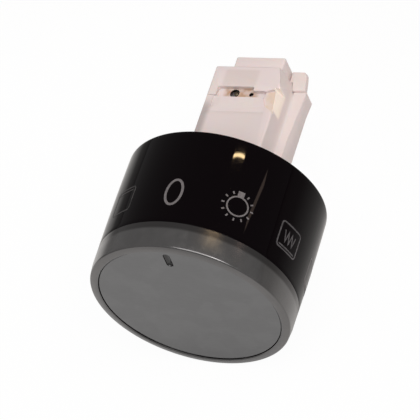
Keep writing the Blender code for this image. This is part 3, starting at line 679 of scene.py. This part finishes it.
def oval(x, y, wide, high, steps=40):
    """A closed ring of points."""
    angles = [2 * pi * i / steps for i in range(steps)]
    return [(x + wide / 2 * cos(a), y + high / 2 * sin(a)) for a in angles]


def soft_box(wide, high, radius):
    """A closed box with round corners."""
    x, y = wide / 2 - radius, high / 2 - radius
    points = arc(x, y, radius, 0, 90, 4) + arc(-x, y, radius, 90, 180, 4)
    return points + arc(-x, -y, radius, 180, 270, 4) + arc(x, -y, radius, 270, 360, 4)


def filled_in(points, closed):
    """The points with long steps divided, so that they can follow the barrel."""
    pairs = list(zip(points, points[1:] + points[:1]))
    if not closed:
        pairs = pairs[:-1]
    dense = []
    for a, b in pairs:
        count = max(1, int((Vector(b) - Vector(a)).length / WRAP_STEP))
        dense += [Vector(a).lerp(Vector(b), k / count) for k in range(count)]
    return dense if closed else dense + [Vector(points[-1])]


def wrapped(bm, point, angle, lift):
    """A vertex for a flat point (x, y) of a sign that stands at an angle."""
    radius = barrel_at(SIGN_Y + point[1]) + lift
    turn = angle + point[0] / barrel_radius
    return bm.verts.new((radius * sin(turn) * MM, (SIGN_Y + point[1]) * MM, radius * cos(turn) * MM))


def add_stroke(bm, angle, points, width=THIN, closed=False):
    """One stroke of ink as a closed, thin, bent bar."""
    dense = filled_in(points, closed)
    count = len(dense)
    rims = []
    for i, here in enumerate(dense):
        before = dense[i - 1] if closed or i else here
        after = dense[(i + 1) % count] if closed or i < count - 1 else here
        into = (here - before).normalized() if here != before else (after - here).normalized()
        out = (after - here).normalized() if after != here else into
        normal = Vector((-(into + out).y, (into + out).x)).normalized()
        reach_out = width / 2 / max(0.4, normal.dot(Vector((-into.y, into.x))))
        left, right = here + normal * reach_out, here - normal * reach_out
        top = INK_THICKNESS
        corners = ((left, -top), (left, top), (right, top), (right, -top))
        rims.append([wrapped(bm, spot, angle, lift) for spot, lift in corners])
    for i in range(count if closed else count - 1):
        here, there = rims[i], rims[(i + 1) % count]
        for k in range(4):
            j = (k + 1) % 4
            bm.faces.new((here[k], here[j], there[j], there[k]))
    if not closed:
        bm.faces.new(rims[0][::-1])
        bm.faces.new(rims[-1])


print("stroke tools ready")

# %% [markdown]
# ## From strokes to signs
# An oven sign is a box with bars, a wave, a fan or a flake in it, so most of the signs
# share their strokes. A loop turns each sign to its own place round the barrel.

# %% Signs
OVEN = (6.0, 5.7, 0.7)  # width, height and corner radius
BAR = 2.45  # half the length of a heat bar
LOW_BAR = -2.25
TOP_BAR = 2.1
WAVE_STEP = 0.55
WAVE_TOP = 1.35
WAVE_FOOT = -1.15
LAMP_RAYS = 12  # the first of which makes room for the lamp's cap
LAMP_MIDDLE = 0.1
LAMP_SIZE = 4.28
LAMP_RAY = (2.75, 3.35)  # from the lamp's middle
LAMP_RAY_WIDTH = 0.33
LAMP_CAP = (2.1, 3.4)
LAMP_CAP_WIDTH = 1.35
OFF_RING = (0.1, 0.05, 3.35, 5.85)  # its middle, width and height
OFF_WIDTH = 0.52

oven_box = (soft_box(*OVEN), THIN, True)
low_heat = ([(-BAR, LOW_BAR), (BAR, LOW_BAR)], THIN, False)
top_heat = ([(-BAR, TOP_BAR), (BAR, TOP_BAR)], THIN, False)
zigzag = [(WAVE_STEP * (i - 3), WAVE_FOOT if i % 2 else WAVE_TOP) for i in range(7)]
grill_wave = (zigzag, THIN * 0.8, False)


def spokes(count, inner, outer, twist=0.0, width=THIN):
    """Short rays round the middle. A twist bends them like a fan's blades."""
    rays = []
    for i in range(count):
        start = 2 * pi * i / count
        points = []
        for k in range(5):
            radius = inner + (outer - inner) * k / 4
            turn = start + twist * k / 4
            points.append((radius * sin(turn), radius * cos(turn)))
        rays.append((points, width, False))
    return rays


blades = spokes(4, inner=0.35, outer=1.5, twist=1.1, width=0.5)
fan = [(oval(0, 0, 0.7, 0.7, 12), THIN, True), *blades]
lamp_rays = []
for i in range(1, LAMP_RAYS):
    turn = 2 * pi * i / LAMP_RAYS
    ray = [(r * sin(turn), LAMP_MIDDLE + r * cos(turn)) for r in LAMP_RAY]
    lamp_rays.append((ray, LAMP_RAY_WIDTH, False))
lamp_sign = [
    (oval(0, LAMP_MIDDLE, LAMP_SIZE, LAMP_SIZE), THIN, True),
    ([(0, LAMP_MIDDLE + r) for r in LAMP_CAP], LAMP_CAP_WIDTH, False),
    *lamp_rays,
]
flake = spokes(6, inner=0.0, outer=1.7)
signs = {
    "print_off": [(oval(*OFF_RING), OFF_WIDTH, True)],
    "print_lamp": lamp_sign,
    "print_grill": [oven_box, low_heat, grill_wave],
    "print_lower_heat": [oven_box, low_heat],
    "print_both_heats": [oven_box, low_heat, top_heat],
    "print_fan": [oven_box, *fan],
    "print_fan_and_lower": [oven_box, low_heat, *fan],
    "print_fan_and_upper": [oven_box, top_heat, *fan],
    "print_thaw": [oven_box, *flake],
    "print_upper_heat": [oven_box, top_heat],
}
# Two signs have fainter inks.
fainter_signs = {"print_grill": faint_ink, "print_upper_heat": faintest_ink}
for place, (name, strokes) in enumerate(signs.items()):
    bm = bmesh.new()
    for points, width, closed in strokes:
        add_stroke(bm, 2 * pi * place / SIGN_COUNT, points, width, closed)
    new_piece(name, bm, "knob", fainter_signs.get(name, ink))
print("signs:", ", ".join(signs))

# %% [markdown]
# ## The bezel ring
# The ring plugs into the barrel and frames the face. Its side is nearly straight, and its
# front swells a little towards the edge, so it mirrors the room where the flat face
# mirrors the floor. That gentle swell is what makes the rim read as a separate band.

# %% Bezel ring
RING_STEPS = 288
LAND_DROP = 0.22  # how far the front falls back towards the rim
RIM_ROUND = 0.4
RIM_TAPER = 0.2
RING_SINK = 0.01  # below the barrel's surface
SIDE_LENGTH = 3.6
SIDE_TAPER = 0.03
BACK_BREAK = 0.05  # the broken edge at the ring's back
PLATE_SEAM = 0.07
PLATE_LIP = 0.15
SEAT_WIDTH = 2.4
SEAT_GAP = 0.3

ring_low, ring_high = reach("bezel_ring")
face_low, face_high = reach("face_plate")
ring_radius = end_radius - RING_SINK
ring_front = ring_low[1]
face_hole = face_high[0] + PLATE_SEAM
seat = face_high[1] + SEAT_GAP
ring_back = ring_high[1]
rim_radius = ring_radius - RIM_TAPER
land_outer = rim_radius - RIM_ROUND
swell = [
    (land_outer + (face_hole + PLATE_LIP - land_outer) * k / 6, ring_front + LAND_DROP * (1 - k / 6) ** 2)
    for k in range(7)
]
profile = [
    (face_hole - SEAT_WIDTH, ring_back),
    (ring_radius - BACK_BREAK, ring_back),
    (ring_radius, ring_back - BACK_BREAK),
    (ring_radius - SIDE_TAPER, ring_back - SIDE_LENGTH),
    *arc(land_outer, ring_front + LAND_DROP + RIM_ROUND, RIM_ROUND, 0, -80, 7),
    *swell[1:],
    (face_hole, ring_front + PLATE_LIP),
    (face_hole, seat),
    (face_hole - SEAT_WIDTH, seat),
]
ring = new_piece("mirror_ring", spun(profile, RING_STEPS), "knob", ring_plating)
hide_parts("bezel_ring")
print("ring:", len(ring.data.polygons), "faces")

# %% [markdown]
# ## The face plate
# The plate is flat to a few hundredths, so it mirrors the floor as one even grey. The
# pointer is a gouge with round ends. It is built as a nest of slots, each smaller and
# deeper than the last, so its walls are a smooth trough and not a hole with a floor.

# %% Face plate
FACE_STEPS = 256
PLATE_BREAK = 0.12  # the broken edge round the plate
PLATE_POINT = 0.05  # the ring in the middle of its back, nearly a point
POINTER_FROM_EDGE = 0.9
POINTER_LENGTH = 4.1
POINTER_HALF = 0.72  # half its width
POINTER_DEPTH = 0.5
POINTER_RINGS = 8
POINTER_OPEN = 0.6  # keeps the deepest ring from closing to a line
POINTER_TURN = radians(3.5)  # the plate sits a little turned in its ring

face_radius = face_high[0]
face_front = face_low[1]
face_back = face_high[1]
pointer_out = face_radius - POINTER_FROM_EDGE
pointer_in = pointer_out - POINTER_LENGTH


def slot_ring(share, depth):
    """One slot-shaped ring of points about the pointer, shrunk by a share and sunk by a depth."""
    radius = POINTER_HALF * share
    low, high = pointer_in + POINTER_HALF, pointer_out - POINTER_HALF
    middle = (low + high) / 2
    points = []
    for i in range(FACE_STEPS):
        angle = 2 * pi * i / FACE_STEPS
        end = high if cos(angle) >= 0 else low
        x = radius * sin(angle)
        z = end + radius * cos(angle)
        if abs(sin(angle)) > 0.999:
            z = middle
        spot = Matrix.Rotation(POINTER_TURN, 3, "Y") @ Vector((x, face_front + depth, z))
        points.append(spot * MM)
    return points


def plate_ring(radius, y):
    """One ring of points about the knob's axis."""
    angles = [2 * pi * i / FACE_STEPS for i in range(FACE_STEPS)]
    return [(radius * sin(a) * MM, y * MM, radius * cos(a) * MM) for a in angles]


bm = bmesh.new()
rings = [plate_ring(PLATE_POINT, face_back), plate_ring(face_radius, face_back)]
rings.append(plate_ring(face_radius, face_front + PLATE_BREAK))
rings.append(plate_ring(face_radius - PLATE_BREAK, face_front))
for k in range(POINTER_RINGS + 1):
    share = cos(pi / 2 * k / (POINTER_RINGS + POINTER_OPEN))
    rings.append(slot_ring(share, POINTER_DEPTH * sqrt(1 - share * share)))
loops = [[bm.verts.new(p) for p in ring_points] for ring_points in rings]
for low, high in zip(loops, loops[1:]):
    for i in range(FACE_STEPS):
        j = (i + 1) % FACE_STEPS
        bm.faces.new((low[i], low[j], high[j], high[i]))
bm.faces.new(loops[0][::-1])
bm.faces.new(loops[-1])
face = new_piece("mirror_face", bm, "knob", face_plating)
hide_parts("face_plate")
print("face:", len(face.data.polygons), "faces")

# %% [markdown]
# ## The stem's mouldings
# The stem's shells have their true shape in the solids already, but a solid's edges are
# cut in few facets. Each is copied, its flat facets are merged back into whole faces, and
# a bevel then rounds every edge by the tenth of a millimetre that a mould leaves.
# The solids keep a gap between the two shells, which are clamped tight in the real knob.
# So the top shell's copy is drawn down over the gap, and no dark line shows along the rail.
# The raised part of the foot is moved in beside it for the same reason.

# %% Softened copies
PARTING_GAP = 0.3
PARTING_OVERLAP = 0.15
PARTING_REACH = 0.45  # how far above the gap the top shell's points move
PANEL_STEP = -15.1  # the panel's front step, which the copy turns into a slope
PANEL_RIGHT = 6.0
PANEL_DEPTH = 0.5  # the step's points lie no deeper than this
NEAR = 0.06  # how near to a place a point has to be, to belong to it
STEP_TOP_FORWARD = 0.9
STEP_FOOT_BACK = 0.1
FOOT_INSIDE = 8.4
FOOT_SHIFT = 0.35
WELD = 0.002  # points closer than this become one
FLAT_ANGLE = 1.0  # degrees: facets that turn less than this merge
EDGE_ANGLE = 28  # degrees: an edge that turns more than this is rounded
EDGE_ROUND = 0.12
ROUND_SEGMENTS = 3
parting = stem_low[2]


def settled(spot):
    """A point of the top shell, moved so that the parting line closes."""
    x, y, z = spot
    share = min(1.0, max(0.0, (parting + PARTING_REACH - z) / PARTING_REACH))
    z -= (PARTING_GAP + PARTING_OVERLAP) * share
    if z > stem_top - PANEL_DEPTH and abs(y - PANEL_STEP) < NEAR and x < PANEL_RIGHT + NEAR:
        y += -STEP_TOP_FORWARD if z > stem_top - 0.1 else STEP_FOOT_BACK
    return x, y, z


def foot_closed(spot):
    """A point of the bottom shell, moved so that the foot's raised part meets the top shell."""
    x, y, z = spot
    if z > parting - PARTING_GAP + 0.05 and abs(x) < FOOT_INSIDE:
        x += -FOOT_SHIFT if x > 0 else FOOT_SHIFT
    return x, y, z


def softened(node, name, body, finish, moved=None):
    """A copy of a node with its edges rounded, which stands for it."""
    bm = bmesh.new()
    bm.from_mesh(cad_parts[node].data)
    bmesh.ops.remove_doubles(bm, verts=bm.verts, dist=WELD * MM)
    if moved:
        for vert in bm.verts:
            vert.co = Vector(moved(vert.co / MM)) * MM
    bmesh.ops.dissolve_limit(
        bm, angle_limit=radians(FLAT_ANGLE), verts=bm.verts, edges=bm.edges, delimit={"NORMAL"}
    )
    piece = new_piece(name, bm, body, finish)
    bevel = piece.modifiers.new("round_edges", "BEVEL")
    bevel.width = EDGE_ROUND * MM
    bevel.segments = ROUND_SEGMENTS
    bevel.limit_method = "ANGLE"
    bevel.angle_limit = radians(EDGE_ANGLE)
    bevel.miter_outer = "MITER_ARC"
    bevel.use_clamp_overlap = True
    bevel.harden_normals = True
    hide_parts(node)
    return piece


upper = softened("stem_upper", "top_shell", "stem", grease_and_painted_light, moved=settled)
lower = softened("stem_lower", "bottom_shell", "stem", plain_acetal, moved=foot_closed)
block = softened("shaft_socket", "shaft_block", "stem", plain_acetal)
print("softened:", upper.name, lower.name, block.name)

# %% [markdown]
# ## Inside and underneath
# The carrier, the slider, the screw and the clip keep their solids, because those hold the
# right shape and little of them shows. Each still gets its own finish.

# %% Finishes on the solids
kept_solids = {"carrier": satin, "cam_slider": plain_acetal, "slider_screw": steel, "shaft_clip": steel}
for node, finish in kept_solids.items():
    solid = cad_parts[node]
    solid.data.materials.clear()
    solid.data.materials.append(finish.material)
    solid.data.shade_smooth()
    solid.data.set_sharp_from_angle(angle=radians(SHARP_ANGLE))
print("solids kept:", ", ".join(kept_solids))

# %% [markdown]
# ## Spring and latch pin
# A spring is a helix whose last turns lie close together. It is drawn at its rest length.
# The latch pin is one wire with two bends.

# %% Return spring
SPRING_TURNS = 12
TURN_STEPS = 28
CLOSED_PITCH = 0.69
SPRING_WIRE = 0.3  # its radius
COIL_RADIUS = 2.45

spring_low, spring_high = reach("return_spring")
coil_middle = (spring_low[2] + spring_high[2]) / 2
first, last = spring_low[1] + SPRING_WIRE, spring_high[1] - SPRING_WIRE
pitch = (last - first - 2 * CLOSED_PITCH) / (SPRING_TURNS - 2)
path = []
for i in range(SPRING_TURNS * TURN_STEPS + 1):
    turns = i / TURN_STEPS
    run = CLOSED_PITCH * min(turns, 1) + pitch * min(max(turns - 1, 0), SPRING_TURNS - 2)
    run += CLOSED_PITCH * max(turns - SPRING_TURNS + 1, 0)
    turn = 2 * pi * turns
    path.append((COIL_RADIUS * cos(turn), first + run, coil_middle + COIL_RADIUS * sin(turn)))
spring = new_piece("coil_spring", swept(path, SPRING_WIRE, 10), "stem", steel)
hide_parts("return_spring")
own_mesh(spring)

# %% Latch pin
PIN_BEND = 0.9
PIN_RADIUS = 0.5
BAR_Z = 5.25  # the height of the wire between its bends

pin_low, pin_high = reach("latch_pin")
pin_x = (pin_low[0] + pin_high[0]) / 2
eye_y = pin_high[1] - PIN_RADIUS
tip_y = pin_low[1] + PIN_RADIUS
path = [(pin_x, eye_y, pin_high[2])]
path += [(pin_x, y, z) for y, z in arc(eye_y - PIN_BEND, BAR_Z + PIN_BEND, PIN_BEND, 0, -90, 6)]
path += [(pin_x, y, z) for y, z in arc(tip_y + PIN_BEND, BAR_Z - PIN_BEND, PIN_BEND, 90, 180, 6)]
path.append((pin_x, tip_y, pin_low[2]))
pin = new_piece("wire_pin", swept(path, PIN_RADIUS, 20), "pin", oily_shaded_steel)
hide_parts("latch_pin")
print("pin from", round(tip_y, 2), "to", round(eye_y, 2), "mm")
